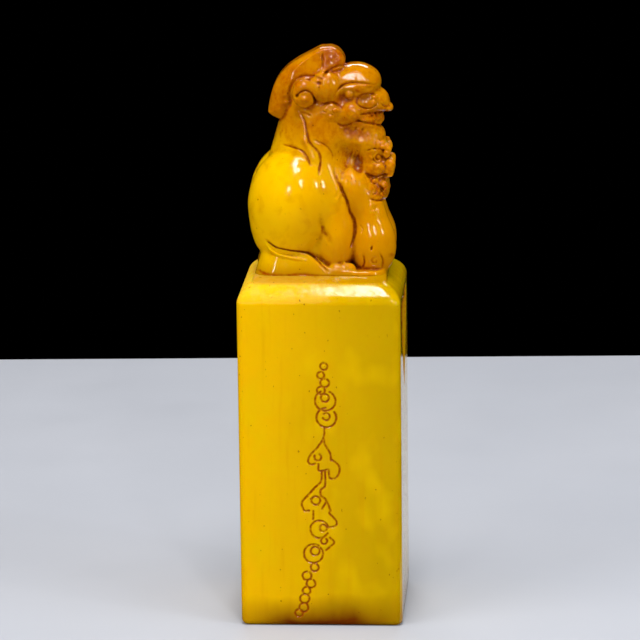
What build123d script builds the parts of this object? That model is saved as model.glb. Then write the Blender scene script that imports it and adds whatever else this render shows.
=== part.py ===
"""Seal stamp: a square stone column whose knob is a seated mythic beast.

Millimetres, +Z up. The origin is the middle of the sealing face, on the plane that
meets the paper. The beast looks along +X, and its two sides are alike.
"""
from build123d import *
from math import cos, pi, radians, sin
import os

os.makedirs("parts", exist_ok=True)

# Column
column_side = 25.0
column_height = 51.2
column_edge_radius = 1.4
foot_radius = 0.9
shoulder_inset = 2.2
shoulder_rise = 2.6
shoulder_swell_share = 0.62

# Plateau between the shoulders and the foot of the knob
ledge_at_ends = 0.2
ledge_at_sides = 2.5
plateau_rise = 0.6

# Sealing face, carved in relief inside a raised border
border_width = 1.4
relief_depth = 0.8
relief_ground = 1.2
spiral_steps = ((0, 0), (4, 0), (4, 4), (0, 4), (0, 2), (2, 2))
spiral_cells = 5
fret_line_share = 0.5

# Rock plinth that the beast sits on: high under the haunches, low under the paws
plinth_back_height = 3.4
plinth_front_height = 0.5
plinth_draft = 18.0
plinth_corner_radius = 3.2
seat_line_shares = ((-0.80, 1.0), (-0.42, 0.84), (-0.14, 0.69), (0.03, 0.30), (0.14, 0.0))

# Beast as a whole. Places in it are (along, across, up) in shares of half its length,
# half its width and its height above the plateau.
beast_length = 23.4
beast_width = 19.0
beast_height = 34.5

# Trunk and neck, round an upright axis: (up, radius) in shares
trunk_radius = 7.6
trunk_place_share = -0.12
trunk_profile_shares = (
    (0.00, 0.86),
    (0.12, 0.98),
    (0.28, 1.00),
    (0.44, 0.95),
    (0.58, 0.84),
    (0.70, 0.72),
    (0.78, 0.60),
)

# Hind quarters
haunch_width = 14.5
haunch_height = 17.6
haunch_lean = 6.0
haunch_place_shares = (-0.34, 0.26, 0.293)
flank_width = 7.0
flank_height = 16.6
flank_lean = -8.0
flank_place_shares = (0.16, 0.40, 0.25)
hind_toe_radius = 1.3
hind_toe_place_shares = ((0.24, 0.62, 0.0), (0.36, 0.54, 0.0))
hind_toe_height = 2.6
tail_width = 3.6
tail_height = 11.5
tail_lean = 16.0
tail_place_shares = (-0.76, 0.0, 0.35)

# Stone left standing between the legs, chest and forelegs
core_foot_radius = 6.4
core_top_radius = 5.4
core_foot_shares = (0.30, 0.0, 0.0)
core_top_shares = (0.30, 0.0, 0.24)
chest_top_radius = 3.9
chest_foot_radius = 3.4
chest_top_shares = (0.38, 0.0, 0.69)
chest_foot_shares = (0.42, 0.0, 0.10)
arm_width = 6.2
arm_height = 12.0
arm_lean = -14.0
arm_place_shares = (0.45, 0.36, 0.36)
foreleg_width = 5.0
foreleg_height = 15.0
foreleg_lean = 6.0
foreleg_place_shares = (0.62, 0.40, 0.27)
paw_width = 6.6
paw_height = 9.4
paw_place_shares = (0.71, 0.45, 0.105)
paw_toe_radius = 1.45
paw_toe_height = 2.8
paw_toe_place_shares = ((0.87, 0.26, 0.0), (0.87, 0.50, 0.0), (0.74, 0.70, 0.0))

# Curled beard under the chin: discs on the mid plane as (along, up, radius, width) shares
beard_disc_radius = 2.6
beard_width = 7.2
beard_disc_shares = (
    (0.750, 0.480, 1.00, 1.00),
    (0.790, 0.555, 0.56, 0.72),
    (0.730, 0.385, 0.80, 0.86),
    (0.620, 0.610, 1.00, 0.80),
)

# Locks of the mane on the neck
lock_width = 3.4
lock_height = 11.0
lock_lean = -24.0
lock_place_shares = (-0.15, 0.52, 0.555)

# Head
skull_width = 9.1
skull_height = 12.4
skull_lean = 87.0
skull_place_shares = (0.18, 0.0, 0.775)
nape_width = 9.4
nape_height = 9.6
nape_lean = 60.0
nape_place_shares = (-0.12, 0.0, 0.80)
brow_width = 5.0
brow_height = 8.0
brow_lean = 84.0
brow_place_shares = (0.445, 0.20, 0.852)
snout_root_radius = 3.2
snout_tip_radius = 1.5
snout_root_shares = (0.40, 0.0, 0.79)
snout_tip_shares = (0.86, 0.0, 0.735)
nostril_radius = 1.2
nostril_width = 4.6
nostril_place_shares = (0.855, 0.0, 0.735)
lip_root_radius = 1.3
lip_tip_radius = 0.7
lip_root_shares = (0.46, 0.26, 0.715)
lip_tip_shares = (0.82, 0.17, 0.715)
jaw_width = 5.0
jaw_height = 9.6
jaw_lean = 91.0
jaw_place_shares = (0.44, 0.0, 0.678)
eye_radius = 1.05
eye_place_shares = (0.385, 0.41, 0.803)
ear_radius = 2.1
ear_rim = 0.7
ear_dish_depth = 0.6
ear_place_shares = (-0.20, 0.62, 0.795)
curl_radius = 1.1
curl_depth = 2.4
curl_place_shares = ((0.04, 0.55, 0.755), (0.19, 0.56, 0.733), (0.10, 0.55, 0.685))

# Bevel round the rims of the discs, as a share of their smaller size
bevel_share = 0.25

# Crest swept back over the head: its closed outline as (along, up) shares, clockwise
# from the top curl, and its domed side as (across, size) shares
crest_thickness = 6.8
crest_outline_shares = (
    (0.33, 0.905),
    (0.31, 0.955),
    (0.10, 1.00),
    (-0.27, 0.955),
    (-0.515, 0.865),
    (-0.67, 0.72),
    (-0.55, 0.68),
    (-0.42, 0.74),
    (-0.25, 0.83),
    (0.05, 0.87),
)
crest_side_shares = (
    (-1.0, 0.72),
    (-0.8, 0.88),
    (-0.45, 0.98),
    (0.0, 1.0),
    (0.45, 0.98),
    (0.8, 0.88),
    (1.0, 0.72),
)

# Fineness of the masses, as (bands along the axis, sides round it), and of limbs and crest
large_fineness = (10, 24)
middle_fineness = (7, 16)
small_fineness = (5, 12)
limb_sides = 16
crest_runs = 20

# Cutting overrun
overrun = 1.0

shoulder_top = column_height + shoulder_rise
plateau_side = column_side - 2 * shoulder_inset
knob_floor = shoulder_top + plateau_rise
plinth_length = plateau_side - 2 * ledge_at_ends
plinth_width = plateau_side - 2 * ledge_at_sides
face_side = column_side - 2 * (foot_radius + border_width)
face_depth = relief_depth + relief_ground


def place(shares, side=-1):
    """Point in the beast from its (along, across, up) shares, on the near side or the far one."""
    along, across, up = shares
    return Vector(
        along * beast_length / 2,
        side * across * beast_width / 2,
        knob_floor + up * beast_height,
    )


def turned(foot, axis, forward, levels, sides):
    """Add a many-sided form round an axis. Its levels are (height over the foot, radius)."""
    sections = []
    for height, radius in levels:
        with BuildSketch(Plane(origin=foot + axis * height, x_dir=forward, z_dir=axis)) as section:
            RegularPolygon(radius, sides, major_radius=False)
        sections.append(section.sketch.face())
    loft(sections, ruled=True)


def mass(middle, width, height, lean=0.0, fineness=middle_fineness):
    """Add an egg-shaped mass whose upright axis leans towards the face."""
    bands, sides = fineness
    axis = Vector(sin(radians(lean)), 0, cos(radians(lean)))
    forward = Vector(cos(radians(lean)), 0, -sin(radians(lean)))
    turns = [pi * (step + 1 / 2) / bands for step in range(bands)]
    levels = [(-cos(turn) * height / 2, sin(turn) * width / 2) for turn in turns]
    turned(middle, axis, forward, levels, sides)


def limb(start, end, start_radius, end_radius):
    """Add a tapered limb between two points of the upright plane they stand in."""
    run = end - start
    forward = run.cross(Vector(0, 1, 0))
    turned(start, run.normalized(), forward, [(0, start_radius), (run.length, end_radius)], limb_sides)


def disc(middle, radius, width):
    """Add a disc with bevelled rims that faces both sides."""
    bevel = min(radius, width) * bevel_share
    levels = (
        (-width / 2, radius - bevel),
        (bevel - width / 2, radius),
        (width / 2 - bevel, radius),
        (width / 2, radius - bevel),
    )
    turned(middle, Vector(0, 1, 0), Vector(1, 0, 0), levels, limb_sides)


def toe(foot, radius, height):
    """Add a toe standing on its foot point, with a bevelled top."""
    levels = ((0, radius), (height - radius / 2, radius), (height, radius / 2))
    turned(foot, Vector(0, 0, 1), Vector(1, 0, 0), levels, small_fineness[1])


# Sealing face: four square spirals stand on a carved ground and meet the paper
with BuildPart() as sealing_face:
    with BuildSketch(Plane.XY.offset(relief_depth)):
        Rectangle(face_side, face_side)
    extrude(amount=relief_ground)
    fret_pitch = face_side / 2 / spiral_cells
    fret_line = fret_pitch * fret_line_share
    with BuildSketch(Plane.XY):
        for quarter in range(4):
            with Locations(Location((0, 0, 0), (0, 0, 90 * quarter))):
                for start, end in zip(spiral_steps, spiral_steps[1:]):
                    run = abs(end[0] - start[0]) * fret_pitch
                    rise = abs(end[1] - start[1]) * fret_pitch
                    middle_x = (start[0] + end[0] + 1) / 2 * fret_pitch
                    middle_y = (start[1] + end[1] + 1) / 2 * fret_pitch
                    with Locations((middle_x, middle_y)):
                        Rectangle(run + fret_line, rise + fret_line)
    extrude(amount=relief_depth)

# Column: square shaft with soft edges, swelling shoulders and a gently raised plateau
with BuildPart() as seal_column:
    with BuildSketch(Plane.XY):
        RectangleRounded(column_side, column_side, column_edge_radius)
    extrude(amount=column_height)
    foot_edges = seal_column.faces().sort_by(Axis.Z)[0].edges()
    fillet(foot_edges, foot_radius)
    swell_inset = shoulder_inset * (1 - shoulder_swell_share)
    with BuildSketch(Plane.XY.offset(column_height)):
        RectangleRounded(column_side, column_side, column_edge_radius)
    with BuildSketch(Plane.XY.offset(column_height + shoulder_rise * shoulder_swell_share)):
        RectangleRounded(column_side - 2 * swell_inset, column_side - 2 * swell_inset, column_edge_radius)
    with BuildSketch(Plane.XY.offset(shoulder_top)):
        RectangleRounded(plateau_side, plateau_side, column_edge_radius)
    loft(ruled=True)
    with BuildSketch(Plane.XY.offset(shoulder_top)):
        RectangleRounded(plateau_side, plateau_side, column_edge_radius)
    with BuildSketch(Plane.XY.offset(knob_floor)):
        RectangleRounded(plinth_length, plinth_width, column_edge_radius)
    loft(ruled=True)
    with BuildSketch(Plane.XY):
        Rectangle(face_side, face_side)
    extrude(amount=face_depth, mode=Mode.SUBTRACT)

# Outline of everything under the seat of the beast
with BuildSketch(Plane.XZ) as under_seat:
    with BuildLine():
        seat_points = [
            (
                along * plinth_length / 2,
                knob_floor + plinth_front_height + up * (plinth_back_height - plinth_front_height),
            )
            for along, up in seat_line_shares
        ]
        far_left = (-beast_length, seat_points[0][1])
        far_right = (beast_length, seat_points[-1][1])
        Line(far_left, seat_points[0])
        Polyline(seat_points)
        Line(seat_points[-1], far_right)
        Line(far_right, (beast_length, column_height))
        Line((beast_length, column_height), (-beast_length, column_height))
        Line((-beast_length, column_height), far_left)
    make_face()

# Plinth: drafted rock base, cut along the seat line
with BuildPart() as knob_plinth:
    with BuildSketch(Plane.XY.offset(knob_floor)):
        RectangleRounded(plinth_length, plinth_width, plinth_corner_radius)
    extrude(amount=plinth_back_height + overrun, taper=plinth_draft)
    extrude(under_seat.sketch, amount=beast_width, both=True, mode=Mode.INTERSECT)

# Beast: one carving, built up mass by mass
with BuildPart() as beast_knob:
    trunk_levels = [(up * beast_height, radius * trunk_radius) for up, radius in trunk_profile_shares]
    trunk_foot = place((trunk_place_share, 0, 0))
    turned(trunk_foot, Vector(0, 0, 1), Vector(1, 0, 0), trunk_levels, large_fineness[1])

    limb(place(core_foot_shares), place(core_top_shares), core_foot_radius, core_top_radius)
    limb(place(chest_foot_shares), place(chest_top_shares), chest_foot_radius, chest_top_radius)
    mass(place(tail_place_shares), tail_width, tail_height, tail_lean, small_fineness)
    mass(place(skull_place_shares), skull_width, skull_height, skull_lean)
    limb(place(snout_root_shares), place(snout_tip_shares), snout_root_radius, snout_tip_radius)
    mass(place(nape_place_shares), nape_width, nape_height, nape_lean)
    mass(place(jaw_place_shares), jaw_width, jaw_height, jaw_lean, small_fineness)
    disc(place(nostril_place_shares), nostril_radius, nostril_width)
    for along, up, radius, width in beard_disc_shares:
        disc(place((along, 0, up)), radius * beard_disc_radius, width * beard_width)

    crest_outline = [place((along, 0, up)) for along, up in crest_outline_shares]
    crest_middle = sum(crest_outline, Vector(0, 0, 0)) / len(crest_outline)
    crest_curve = Spline([(point.X, point.Z) for point in crest_outline], periodic=True, mode=Mode.PRIVATE)
    corners = [crest_curve @ (run / crest_runs) for run in range(crest_runs)]
    for across, size in crest_side_shares:
        with BuildSketch(Plane.XZ.offset(across * crest_thickness / 2)):
            with BuildLine():
                Polyline(
                    [
                        (
                            crest_middle.X + (corner.X - crest_middle.X) * size,
                            crest_middle.Z + (corner.Y - crest_middle.Z) * size,
                        )
                        for corner in corners
                    ],
                    close=True,
                )
            make_face()
    loft(ruled=True)

    for side in (-1, 1):
        mass(place(haunch_place_shares, side), haunch_width, haunch_height, haunch_lean, large_fineness)
        mass(place(flank_place_shares, side), flank_width, flank_height, flank_lean)
        for foot in hind_toe_place_shares:
            toe(place(foot, side), hind_toe_radius, hind_toe_height)

        mass(place(arm_place_shares, side), arm_width, arm_height, arm_lean)
        mass(place(foreleg_place_shares, side), foreleg_width, foreleg_height, foreleg_lean)
        mass(place(paw_place_shares, side), paw_width, paw_height)
        for foot in paw_toe_place_shares:
            toe(place(foot, side), paw_toe_radius, paw_toe_height)

        mass(place(lock_place_shares, side), lock_width, lock_height, lock_lean, small_fineness)
        mass(place(brow_place_shares, side), brow_width, brow_height, brow_lean, small_fineness)
        limb(place(lip_root_shares, side), place(lip_tip_shares, side), lip_root_radius, lip_tip_radius)
        mass(place(eye_place_shares, side), 2 * eye_radius, 2 * eye_radius, fineness=small_fineness)
        for curl in curl_place_shares:
            disc(place(curl, side) - Vector(0, side * curl_depth / 2, 0), curl_radius, curl_depth)

        ear_middle = place(ear_place_shares, side) - Vector(0, side * ear_radius / 2, 0)
        disc(ear_middle, ear_radius, ear_radius)
        with BuildSketch(Plane(origin=place(ear_place_shares, side), z_dir=(0, side, 0))) as dish:
            RegularPolygon(ear_radius - ear_rim, limb_sides, major_radius=False)
        extrude(dish.sketch, amount=-ear_dish_depth, mode=Mode.SUBTRACT)

    extrude(under_seat.sketch, amount=beast_width, both=True, mode=Mode.SUBTRACT)

pieces = {
    "seal_column": seal_column,
    "sealing_face": sealing_face,
    "knob_plinth": knob_plinth,
    "beast_knob": beast_knob,
}
for name, piece in pieces.items():
    piece.part.label = name
    export_step(piece.part, f"parts/{name}.step")
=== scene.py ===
"""Looks of the seal stamp: a polished yellow stone column with a carved beast as its knob.

The knob is sculpted here as a distance field, and it stands for the plain solids of the
plinth and the beast. The column gets a mesh of its own, cut with the fine ornament of its
front and the leaf of its side. Lengths are millimetres in the part's frame, up to the meshes
themselves: +Z is up, the beast looks along +X, and the front ornament is on the -Y side.
"""

from math import cos, pi, radians, sin

import bpy
import numpy as np
from mathutils import Matrix, Vector


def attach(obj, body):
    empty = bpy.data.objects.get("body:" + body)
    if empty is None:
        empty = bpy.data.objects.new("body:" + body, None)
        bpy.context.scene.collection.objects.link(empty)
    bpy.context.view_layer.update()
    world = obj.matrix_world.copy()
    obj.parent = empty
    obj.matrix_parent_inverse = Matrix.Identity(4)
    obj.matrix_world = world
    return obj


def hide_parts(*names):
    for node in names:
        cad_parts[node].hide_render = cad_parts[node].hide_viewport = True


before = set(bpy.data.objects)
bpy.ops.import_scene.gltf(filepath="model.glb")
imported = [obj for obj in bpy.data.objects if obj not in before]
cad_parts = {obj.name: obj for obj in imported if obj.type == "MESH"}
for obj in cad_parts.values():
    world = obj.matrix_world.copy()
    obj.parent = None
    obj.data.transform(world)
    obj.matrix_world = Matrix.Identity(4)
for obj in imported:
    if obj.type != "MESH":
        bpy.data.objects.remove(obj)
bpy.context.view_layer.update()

MM = 0.001
SEED = 7

# Clay: what an empty block holds, and the size of its grain. Strokes waver aside and in depth
# with the grain, keep a share of their depth at their ends, and stain wider than they cut.
FAR_AWAY = 9.0
GRAIN_CELL = 0.45
WAVER_ASIDE, WAVER_DEPTH = 0.3, 0.45
END_SHARE = 0.25
STAIN_SPREAD = 1.5

# Camera: where it stands, what it looks at, its lens and its slight roll
CAMERA_PLACE = Vector((37.9, -579.2, 179.6))
CAMERA_TARGET = Vector((0.3, -12.5, 48.6))
CAMERA_LENS = 215.8
CAMERA_SENSOR = 36.0
CAMERA_ROLL = -0.71


def seen(x, y, z):
    """Where a point shows on the mid plane of the beast, as (along, up), from the camera."""
    spread = -CAMERA_PLACE.y / (y - CAMERA_PLACE.y)
    along = CAMERA_PLACE.x + (x - CAMERA_PLACE.x) * spread
    up = CAMERA_PLACE.z + (z - CAMERA_PLACE.z) * spread
    return along, up


def at(along, up, across=0.0):
    """The point that lies `across` out from the mid plane and shows at (along, up) on it."""
    spread = -CAMERA_PLACE.y / (-across - CAMERA_PLACE.y)
    x = CAMERA_PLACE.x + (along - CAMERA_PLACE.x) / spread
    z = CAMERA_PLACE.z + (up - CAMERA_PLACE.z) / spread
    return np.array((x, -across, z))


def smooth_line(points, closed=False, steps=6):
    """A curve through the points, with `steps` runs between each two of them."""
    points = np.array(points, float)
    if closed:
        before, after = np.roll(points, 1, 0), np.roll(points, -1, 0)
        beyond = np.roll(points, -2, 0)
    else:
        padded = np.vstack((2 * points[0] - points[1], points, 2 * points[-1] - points[-2]))
        before, points, after, beyond = padded[:-3], padded[1:-2], padded[2:-1], padded[3:]
    line = []
    for a, b, c, d in zip(before, points, after, beyond):
        for t in np.arange(steps) / steps:
            bend = 2 * a - 5 * b + 4 * c - d + t * (3 * (b - c) + d - a)
            line.append(b + 0.5 * t * (c - a + t * bend))
    line.append(line[0] if closed else after[-1])
    return np.array(line)


def spiral(middle, outer, inner, start, turns, steps=14):
    """A spiral line from its outer end, at the angle `start`, in to its inner radius."""
    count = max(int(abs(turns) * steps), 4)
    share = np.linspace(0, 1, count)
    angle = radians(start) + share * turns * 2 * pi
    radius = outer + (inner - outer) * share
    return np.array(middle) + np.stack((np.cos(angle), np.sin(angle)), 1) * radius[:, None]


def distance_to_line(u, w, line):
    """Distance of the places (u, w) to a line of points, and how far along it they are."""
    best = np.full(u.shape, 1e6, np.float32)
    share = np.zeros(u.shape, np.float32)
    runs = len(line) - 1
    for index in range(runs):
        (u0, w0), (u1, w1) = line[index], line[index + 1]
        du, dw = u1 - u0, w1 - w0
        along = np.clip(((u - u0) * du + (w - w0) * dw) / max(du * du + dw * dw, 1e-9), 0, 1)
        away = (u - u0 - along * du) ** 2 + (w - w0 - along * dw) ** 2
        nearer = away < best
        best = np.where(nearer, away, best)
        share = np.where(nearer, (index + along) / runs, share)
    return np.sqrt(best), share


def is_inside(u, w, line):
    """Which of the places (u, w) lie inside a closed line of points."""
    inside = np.zeros(u.shape, bool)
    for (u0, w0), (u1, w1) in zip(line, line[1:]):
        crosses = (w0 > w) != (w1 > w)
        inside ^= crosses & (u < (u1 - u0) * (w - w0) / (w1 - w0 + 1e-12) + u0)
    return inside


def blend_in(old, new, reach):
    """Join two distance fields, rounding the corner between them over `reach`."""
    share = np.clip(0.5 + 0.5 * (old - new) / reach, 0, 1)
    return old + (new - old) * share - reach * share * (1 - share)


class Clay:
    """Half a block of voxels, from the mid plane out to the near side, holding a distance field."""

    def __init__(self, low, high, pitch):
        self.pitch = pitch
        self.low = np.array(low, float)
        counts = np.ceil((np.array(high) - self.low) / pitch).astype(int) + 1
        self.axes = [self.low[i] + np.arange(counts[i]) * pitch for i in range(3)]
        self.field = np.full(counts, FAR_AWAY, np.float32)
        self.stain_and_shade = np.zeros(counts, np.float32)
        self.grain = grainy(counts, GRAIN_CELL, pitch, SEED)

    def grid(self, window):
        x, y, z = (axis[part].astype(np.float32) for axis, part in zip(self.axes, window))
        return x[:, None, None], y[None, :, None], z[None, None, :]

    def window(self, low, high):
        """The slices of the block that hold the box from low to high."""
        parts = []
        for axis, a, b in zip(self.axes, low, high):
            first = max(int((a - axis[0]) / self.pitch), 0)
            last = min(int((b - axis[0]) / self.pitch) + 2, len(axis))
            parts.append(slice(first, max(last, first + 1)))
        return tuple(parts)

    def side_window(self, low, high, behind=0.0):
        """The slices that hold what shows between two corners of the side view."""
        near = -self.low[1]
        depths = (0.0, near)
        corners = np.array([at(*corner, across) for corner in (low, high) for across in depths])
        first, last = corners.min(0), corners.max(0)
        return self.window((first[0], -near, first[2]), (last[0], -behind, last[2]))

    def side_view(self, window):
        """Where the voxels of a window show in the side view."""
        return np.broadcast_arrays(*seen(*self.grid(window)))

    def join(self, window, distance, reach):
        self.field[window] = blend_in(self.field[window], distance.astype(np.float32), reach)

    def egg(self, middle, radii, lean=0.0, turn=0.0, reach=0.5):
        """Add an egg with the given half sizes. It leans towards +X and turns about its height."""
        middle, radii = np.array(middle, float), np.array(radii, float)
        room = radii.max() + reach + 0.5
        window = self.window(middle - room, middle + room)
        x, y, z = (part - c for part, c in zip(self.grid(window), middle))
        s, c = sin(radians(lean)), cos(radians(lean))
        x, z = x * c - z * s, x * s + z * c
        s, c = sin(radians(turn)), cos(radians(turn))
        x, y = x * c + y * s, y * c - x * s
        size = np.sqrt((x / radii[0]) ** 2 + (y / radii[1]) ** 2 + (z / radii[2]) ** 2)
        a, b, c = radii**2
        slope = np.sqrt((x / a) ** 2 + (y / b) ** 2 + (z / c) ** 2)
        self.join(window, size * (size - 1) / np.maximum(slope, 1e-6), reach)

    def press(self, middle, radii, reach=0.2):
        """Take an egg with the given half sizes out of what is there."""
        self.field *= -1
        self.egg(middle, radii, reach=reach)
        self.field *= -1

    def limb(self, start, end, start_radius, end_radius, flat=1.0, reach=0.5):
        """Add a round tapered limb between two points, flattened across by `flat`."""
        start, end = np.array(start, float), np.array(end, float)
        room = max(start_radius, end_radius) + reach + 0.5
        window = self.window(np.minimum(start, end) - room, np.maximum(start, end) + room)
        x, y, z = self.grid(window)
        run = end - start
        x, y, z = x - start[0], (y - start[1]) / flat, z - start[2]
        share = np.clip((x * run[0] + y * run[1] + z * run[2]) / (run @ run), 0, 1)
        x, y, z = x - share * run[0], y - share * run[1], z - share * run[2]
        away = np.sqrt(x**2 + y**2 + z**2)
        self.join(window, away - start_radius - share * (end_radius - start_radius), reach)

    def plate(self, outline, half_width, rim, reach=0.5):
        """Add a closed outline in the side view, `half_width` thick each way, with a round rim."""
        line = smooth_line(outline, closed=True)
        room = rim + reach + 0.5
        low = (line[:, 0].min() - room, -half_width - room, line[:, 1].min() - room)
        high = (line[:, 0].max() + room, half_width + room, line[:, 1].max() + room)
        window = self.window(low, high)
        x, y, z = self.grid(window)
        x_flat, z_flat = np.broadcast_arrays(x[:, 0, :], z[:, 0, :])
        away, _ = distance_to_line(x_flat, z_flat, line)
        inside = is_inside(x_flat, z_flat, line)
        over_edge = np.where(inside, -away, away)[:, None, :] + rim
        over_side = (np.abs(y) - half_width) * max(rim / half_width, 1) + rim
        corner = np.sqrt(np.maximum(over_edge, 0) ** 2 + np.maximum(over_side, 0) ** 2)
        self.join(window, corner + np.minimum(np.maximum(over_edge, over_side), 0) - rim, reach)

    def stroke(self, points, width, depth, stain_and_shade, ends=0.25, behind=0.0):
        """Cut a line as it shows from the side, or raise one where depth is below zero.

        Only what lies further out than `behind` is cut. The line fades over the share `ends`
        of its length at each end, and a cut one wavers with the grain of the stone.
        """
        line = np.array(points, float)
        room = 3 * width
        window = self.side_window(line.min(0) - room, line.max(0) + room, behind)
        away, share = distance_to_line(*self.side_view(window), line)
        fade = np.clip(np.minimum(share, 1 - share) / ends + END_SHARE, 0, 1)
        waver = self.grain[window] * (depth > 0)
        away = away + WAVER_ASIDE * width * waver
        profile = np.exp(-((away / width) ** 2)) * fade * (1 + WAVER_DEPTH * waver)
        self.field[window] += depth * profile
        wide = np.exp(-((away / (width * STAIN_SPREAD)) ** 2)) * fade
        self.stain_and_shade[window] = np.maximum(self.stain_and_shade[window], stain_and_shade * wide)

    def patch(self, middle, radii, depth=0.0, stain_and_shade=0.0, bumps=0.0, tilt=0.0):
        """Press in, stain and roughen a soft oval patch as it shows from the side; its stain also serves
        as painted shade.

        Where depth is below zero the patch is raised.
        """
        middle = np.array(middle, float)
        reach = max(radii) * 1.6
        window = self.side_window(middle - reach, middle + reach)
        u, w = (part - centre for part, centre in zip(self.side_view(window), middle))
        s, c = sin(radians(tilt)), cos(radians(tilt))
        u, w = u * c + w * s, w * c - u * s
        weight = np.exp(-((u / radii[0]) ** 2 + (w / radii[1]) ** 2) ** 1.5)
        self.field[window] += weight * (depth + bumps * self.grain[window])
        self.stain_and_shade[window] = np.maximum(self.stain_and_shade[window], stain_and_shade * weight)


def grainy(shape, cell, pitch, seed):
    """Soft random bumps from -1 to 1 over a block, about `cell` across."""
    random = np.random.default_rng(seed)
    counts = [max(int(n * pitch / cell) + 3, 4) for n in shape]
    block = random.uniform(-1, 1, counts).astype(np.float32)
    for axis, count in enumerate(shape):
        place = np.arange(count) * pitch / cell
        first = np.floor(place).astype(int)
        share = place - first
        share = (share * share * (3 - 2 * share)).astype(np.float32)
        share = share.reshape([-1 if i == axis else 1 for i in range(3)])
        block = np.take(block, first, axis) * (1 - share) + np.take(block, first + 1, axis) * share
    return block


def soften(block, radius):
    """Box blur of a block over `radius` voxels each way, twice along each axis."""
    for axis in (0, 1, 2, 0, 1, 2):
        padding = [(radius + 1, radius) if i == axis else (0, 0) for i in range(3)]
        total = np.cumsum(np.pad(block, padding, mode="edge"), axis=axis, dtype=np.float64)
        count = block.shape[axis]
        high = np.take(total, np.arange(count) + 2 * radius + 1, axis)
        low = np.take(total, np.arange(count), axis)
        block = ((high - low) / (2 * radius + 1)).astype(np.float32)
    return block


def drop_crumbs(field):
    """Take away single loose voxels, and fill single hollow ones."""
    inside = field < 0
    near = np.zeros(field.shape, np.int8)
    for axis in range(3):
        for shift in (-1, 1):
            near += np.roll(inside, shift, axis)
    return np.where(near == 0, np.abs(field), np.where(near == 6, -np.abs(field), field))


def skin(field, low, pitch):
    """The zero surface of a distance field, as points and four-sided faces."""
    inside = field < 0
    corners = [(i, j, k) for i in (0, 1) for j in (0, 1) for k in (0, 1)]
    shape = np.array(field.shape) - 1

    def part(block, corner):
        return block[tuple(slice(c, c + n) for c, n in zip(corner, shape))]

    counted = sum(part(inside, corner).astype(np.int8) for corner in corners)
    cells = np.argwhere((counted > 0) & (counted < 8))
    number = np.full(shape, -1, np.int64)
    number[tuple(cells.T)] = np.arange(len(cells))
    total = np.zeros((len(cells), 3))
    hits = np.zeros(len(cells))
    steps = np.eye(3, dtype=int)
    for axis, step in enumerate(steps):
        for corner in corners:
            if corner[axis]:
                continue
            a = field[tuple((cells + corner).T)]
            b = field[tuple((cells + corner + step).T)]
            crossed = (a < 0) != (b < 0)
            share = np.where(crossed, a / np.where(crossed, a - b, 1), 0)
            place = np.array(corner) + share[:, None] * step
            total += np.where(crossed[:, None], place, 0)
            hits += crossed
    points = np.array(low) + (cells + total / hits[:, None]) * pitch
    faces = []
    for axis, step in enumerate(steps):
        one, two = steps[(axis + 1) % 3], steps[(axis + 2) % 3]
        here = field[tuple(slice(0, n - s) for n, s in zip(field.shape, step))] < 0
        there = field[tuple(slice(s, None) for s in step)] < 0
        edges = np.argwhere(here != there)
        edges = edges[np.all((edges - one - two >= 0) & (edges < shape), axis=1)]
        ring = [number[tuple((edges - shift).T)] for shift in (0 * one, one, one + two, two)]
        quads = np.stack(ring, 1)
        flip = ~here[tuple(edges.T)]
        quads[flip] = quads[flip][:, ::-1]
        faces.append(quads)
    return points, np.vstack(faces)


def read_block(block, low, pitch, points):
    """Values of a block at the points, mixed from the eight voxels round each."""
    place = (points - np.array(low)) / pitch
    first = np.clip(np.floor(place).astype(int), 0, np.array(block.shape) - 2)
    share = place - first
    value = np.zeros(len(points))
    for corner in np.ndindex(2, 2, 2):
        weight = np.prod(np.where(corner, share, 1 - share), axis=1)
        value += weight * block[tuple((first + corner).T)]
    return value


def make_mesh(name, points, faces, marks=None):
    """A smooth mesh object from points in millimetres, with its values per point as attributes."""
    mesh = bpy.data.meshes.new(name)
    mesh.from_pydata((np.asarray(points) * MM).tolist(), [], [list(face) for face in faces])
    mesh.polygons.foreach_set("use_smooth", [True] * len(mesh.polygons))
    for mark, values in (marks or {}).items():
        mesh.attributes.new(mark, "FLOAT", "POINT").data.foreach_set("value", np.float32(values))
    mesh.update()
    made = bpy.data.objects.new(name, mesh)
    bpy.context.scene.collection.objects.link(made)
    return made


# Knob: where it starts, the block that it is sculpted from, how fine the block is, how far
# back the far half leans for each millimetre across, and how uneven the skin is
KNOB_FLOOR = 54.4
CLAY_LOW = (-12.4, -10.2, 53.9)
CLAY_HIGH = (12.7, 0.0, 89.6)
CLAY_PITCH = 0.12
FAR_SIDE_SHIFT = 0.1
UNEVEN_CELL = 1.1
UNEVEN_HEIGHT = 0.02

# Stain of the recesses: how near stone counts, the share of it that starts the stain, its gain
RECESS_REACH, RECESS_START, RECESS_GAIN = 0.55, 0.53, 5.0

# Plinth of the knob: half sizes at its foot, corner, draft, and its step under the haunches
PLINTH_HALF = (10.1, 7.8)
ROCK_CORNER, ROCK_DRAFT, ROCK_LOW = 3.0, 0.3, 0.6
ROCK_STEP, ROCK_STEP_X, ROCK_STEP_RUN = 3.3, -0.3, 1.1

# Crest swept back over the head, and the curl at its front, in the side view
CREST_OUTLINE = (
    (3.0, 85.6), (2.9, 87.2), (1.9, 88.4), (0.5, 88.8), (-1.2, 88.0), (-3.0, 87.1),
    (-5.0, 85.7), (-6.5, 84.0), (-7.4, 81.9), (-7.95, 79.4), (-7.9, 78.6), (-6.9, 77.9),
    (-5.9, 77.6), (-4.8, 78.2), (-3.6, 80.2), (-1.9, 82.4), (0.4, 83.6),
)
CREST_HALF_WIDTH, CREST_RIM = 3.3, 2.2
CURL_OUTLINE = (
    (0.3, 85.3), (0.4, 87.6), (1.2, 88.75), (2.4, 88.6), (3.4, 87.8), (3.85, 86.7),
    (3.5, 85.3), (1.8, 84.6),
)
CURL_HALF_WIDTH, CURL_RIM = 2.9, 1.6

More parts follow.
